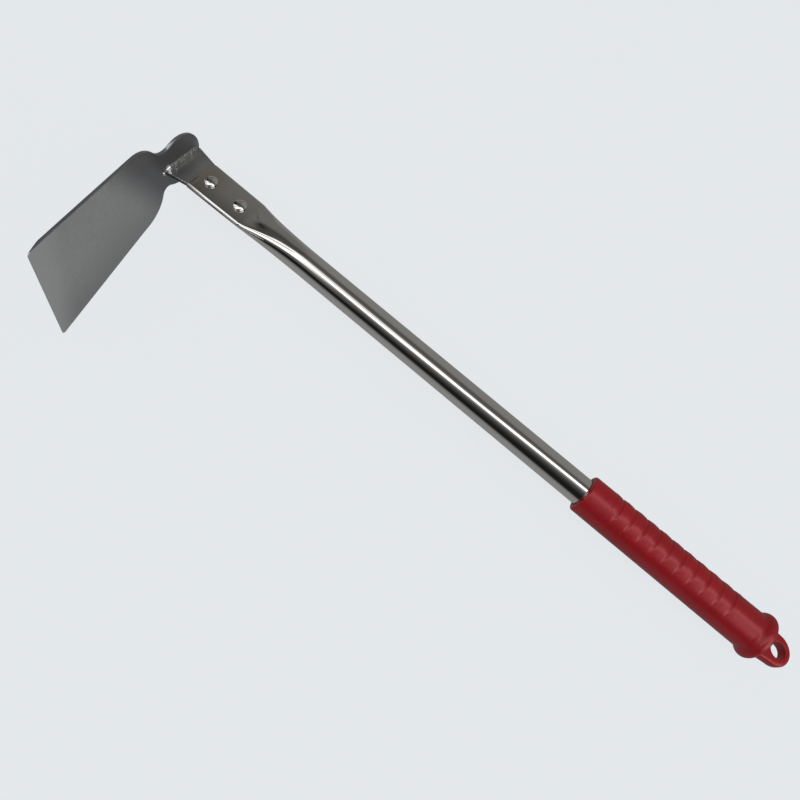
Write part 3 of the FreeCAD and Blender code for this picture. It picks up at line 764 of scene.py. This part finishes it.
class WorldNodes:
    """Short helpers over the world's node tree."""

    def __init__(self, name):
        world = bpy.data.worlds.new(name)
        bpy.context.scene.world = world
        world.use_nodes = True
        self.tree = world.node_tree
        self.direction = self.tree.nodes.new("ShaderNodeTexCoord").outputs["Generated"]

    def along(self, axis):
        """Cosine between the direction looked in and an axis."""
        node = self.tree.nodes.new("ShaderNodeVectorMath")
        node.operation = "DOT_PRODUCT"
        node.inputs[1].default_value = axis
        self.tree.links.new(self.direction, node.inputs[0])
        return node.outputs["Value"]

    def calc(self, operation, *values):
        node = self.tree.nodes.new("ShaderNodeMath")
        node.operation = operation
        for socket, value in zip(node.inputs, values):
            if isinstance(value, (int, float)):
                socket.default_value = value
            else:
                self.tree.links.new(value, socket)
        return node.outputs["Value"]

    def product(self, first, *others):
        for value in others:
            first = self.calc("MULTIPLY", first, value)
        return first

    def clamp(self, value, low, high):
        return self.calc("MINIMUM", self.calc("MAXIMUM", value, low), high)

    def rise(self, value, low, high, to_low=0.0, to_high=1.0):
        """A soft step from to_low, where the value is low, to to_high, where it is high."""
        node = self.tree.nodes.new("ShaderNodeMapRange")
        node.interpolation_type = "SMOOTHSTEP"
        for key, number in (("From Min", low), ("From Max", high), ("To Min", to_low), ("To Max", to_high)):
            node.inputs[key].default_value = number
        self.tree.links.new(value, node.inputs["Value"])
        return node.outputs["Result"]

    def band(self, value, low, high, soft):
        """1 between low and high, 0 outside them."""
        return self.product(self.rise(value, low - soft, low + soft),
                            self.rise(value, high - soft, high + soft, 1, 0))

    def background(self, colour, strength):
        node = self.tree.nodes.new("ShaderNodeBackground")
        if isinstance(colour, tuple):
            node.inputs["Color"].default_value = colour
        else:
            self.tree.links.new(colour, node.inputs["Color"])
        self.tree.links.new(strength, node.inputs["Strength"])
        return node.outputs[0]


COOL, WARM, GREY = (0.97, 0.99, 1.0), (1.0, 0.985, 0.94), (1.0, 1.0, 0.985)
# Brightness of the walls by angle in degrees. The main box hangs at 99 to 113 degrees, with a black flag
# past it at 162 to 182 degrees.
WALLS = [(-60, 0.26, COOL), (-20, 0.205, WARM), (42, 0.20, WARM), (51, 0.19, WARM), (58, 0.165, WARM),
         (65, 0.10, WARM), (73, 0.074, WARM), (82, 0.09, WARM), (90, 0.13, GREY), (95, 0.24, GREY),
         (99, 0.9, GREY), (103, 2.4, GREY), (109, 2.6, GREY), (113, 1.0, GREY), (116, 0.34, GREY),
         (124, 0.14, GREY), (134, 0.07, GREY), (148, 0.034, COOL), (162, 0.012, COOL), (182, 0.010, COOL),
         (190, 0.10, GREY), (198, 0.19, GREY), (210, 0.235, GREY), (250, 0.24, GREY), (299, 0.26, COOL)]


def wall_colour(w, angle, lengthwise):
    """The walls and the main box. The box's edges are not quite parallel to the handle."""
    # Its far edge moves away towards the blade's end, and back again past it.
    widening = w.product(w.clamp(lengthwise, -0.2, 0.3), 50)
    back = w.product(w.calc("MAXIMUM", w.calc("SUBTRACT", -0.3, lengthwise), 0), 31)
    far = w.product(w.calc("ADD", widening, back), w.rise(angle, 98, 112), w.rise(angle, 150, 172, 1, 0))
    # Its near edge comes closer towards the grip.
    near = w.product(w.clamp(lengthwise, 0, 0.3), 60, w.rise(angle, 70, 84), w.rise(angle, 100, 112, 1, 0))
    warped = w.calc("ADD", angle, w.calc("ADD", far, near))
    ramp = w.tree.nodes.new("ShaderNodeValToRGB")
    elements = ramp.color_ramp.elements
    elements.remove(elements[1])
    for index, (degrees, level, tint) in enumerate(WALLS):
        place = (degrees + 60) / 360
        element = elements[0] if index == 0 else elements.new(place)
        element.position = place
        element.color = (level * tint[0], level * tint[1], level * tint[2], 1)
    w.tree.links.new(w.calc("DIVIDE", w.calc("ADD", warped, 60), 360), ramp.inputs["Fac"])
    return ramp.outputs["Color"]


def wall_strength(w, angle, lengthwise):
    """The near wall turns darker in steps past the blade's end."""
    lean = w.product(w.clamp(w.calc("SUBTRACT", angle, 55), 0, 40), 0.008)
    first_step = w.rise(w.calc("SUBTRACT", lengthwise, lean), -0.94, -0.84)
    strength = w.product(w.calc("MAXIMUM", first_step, w.rise(angle, 62, 76, 0.5, 0.15)),
                         w.rise(lengthwise, -0.42, -0.29, 0.72, 1), w.rise(lengthwise, -0.90, -0.77, 0.12, 1))
    for kept in (w.rise(angle, 88, 97), w.rise(angle, 10, 30, 1, 0)):
        strength = w.calc("MAXIMUM", strength, kept)
    # A dark gap past the main box, a dark patch below the flag and a softer main box at the blade's end.
    gap = w.product(w.band(angle, 110, 118, 1.5), w.rise(lengthwise, -0.44, -0.36, 0.9, 0))
    under = w.product(w.rise(angle, 148, 165), w.band(lengthwise, -0.56, -0.435, 0.02), 0.85)
    softer = w.product(w.band(angle, 101, 112, 2.0), w.rise(lengthwise, -0.1, 0.1, 0.45, 0))
    for shade in (gap, under, softer):
        strength = w.product(strength, w.calc("SUBTRACT", 1, shade))
    return strength


def make_world():
    """Grey walls all round and long soft boxes overhead, laid out by two directions of the handle."""
    w = WorldNodes("studio")
    # The angle round the handle's axis, from its +Z (0) over the top (90 degrees), and the share along it.
    turn = w.calc("DIVIDE", w.calc("ARCTAN2", w.along(SIDE), w.along(ACROSS)), 2 * math.pi)
    angle = w.calc("SUBTRACT", w.product(w.calc("FRACT", w.calc("ADD", turn, 1 / 6)), 360), 60)
    lengthwise = w.along(ALONG)
    walls = w.background(wall_colour(w, angle, lengthwise), wall_strength(w, angle, lengthwise))

    # A second box and a dim one beside it hang past the blade's end. A third box faces the grip's end.
    second = w.product(w.band(angle, 120, 141, 2.0), w.rise(lengthwise, -0.41, -0.27, 1.4, 0))
    dim = w.product(w.band(angle, 143, 161, 4.0), w.rise(lengthwise, -0.36, -0.20, 0.07, 0))
    third = w.product(w.band(angle, 105, 150, 6.0), w.rise(lengthwise, 0.42, 0.55, 0, 2.0))
    boxes = w.background((1.0, 1.0, 0.985, 1), w.calc("ADD", second, w.calc("ADD", dim, third)))
    total = w.tree.nodes.new("ShaderNodeAddShader")
    w.tree.links.new(walls, total.inputs[0])
    w.tree.links.new(boxes, total.inputs[1])
    w.tree.links.new(total.outputs[0], w.tree.nodes["World Output"].inputs["Surface"])


def make_lights():
    """Two soft lights, which the polished metal doesn't mirror."""
    for name, place, size, power in (("overhead_soft", (0.1, 0.2, 1.6), 2.2, 22),
                                     ("side_soft", (-0.6, -1.3, 1.2), 1.6, 6)):
        data = bpy.data.lights.new(name, "AREA")
        data.shape, data.size, data.energy = "SQUARE", size, power
        light = bpy.data.objects.new(name, data)
        light.location = place
        light.rotation_euler = (-Vector(place)).to_track_quat("-Z", "Y").to_euler()
        light.visible_glossy = False
        bpy.context.scene.collection.objects.link(light)


def make_camera():
    """The camera, placed and turned in the handle's frame."""
    eye = Vector((220.33, -293.94, -184.9))
    view = Vector((-0.0958, 0.8787, 0.4677)).normalized()
    right = view.cross(Vector((-0.6398, -0.4143, 0.6473))).normalized()
    up = right.cross(view)
    data = bpy.data.cameras.new("camera")
    data.lens, data.sensor_width = 28.25, 36.0
    camera = bpy.data.objects.new("camera", data)
    axes = Matrix((right, up, -view)).transposed().to_4x4()
    camera.matrix_world = Matrix.Translation(PLACE @ eye) @ TURN @ axes
    bpy.context.scene.collection.objects.link(camera)
    bpy.context.scene.camera = camera


make_camera()
make_world()
make_lights()
make_stage()
make_blade(blade_steel())
make_tang(tang_steel())
weld = weld_metal()
make_weld(-1, "weld_front", weld)
make_weld(1, "weld_back", weld)
make_tube(tube_chrome())
rivet_metal = rivet_steel()
for rivet_name, rivet_station in RIVETS.items():
    make_rivet(rivet_name, rivet_station, rivet_metal)
make_grip(grip_plastic())
bpy.context.scene.view_settings.view_transform = "Standard"
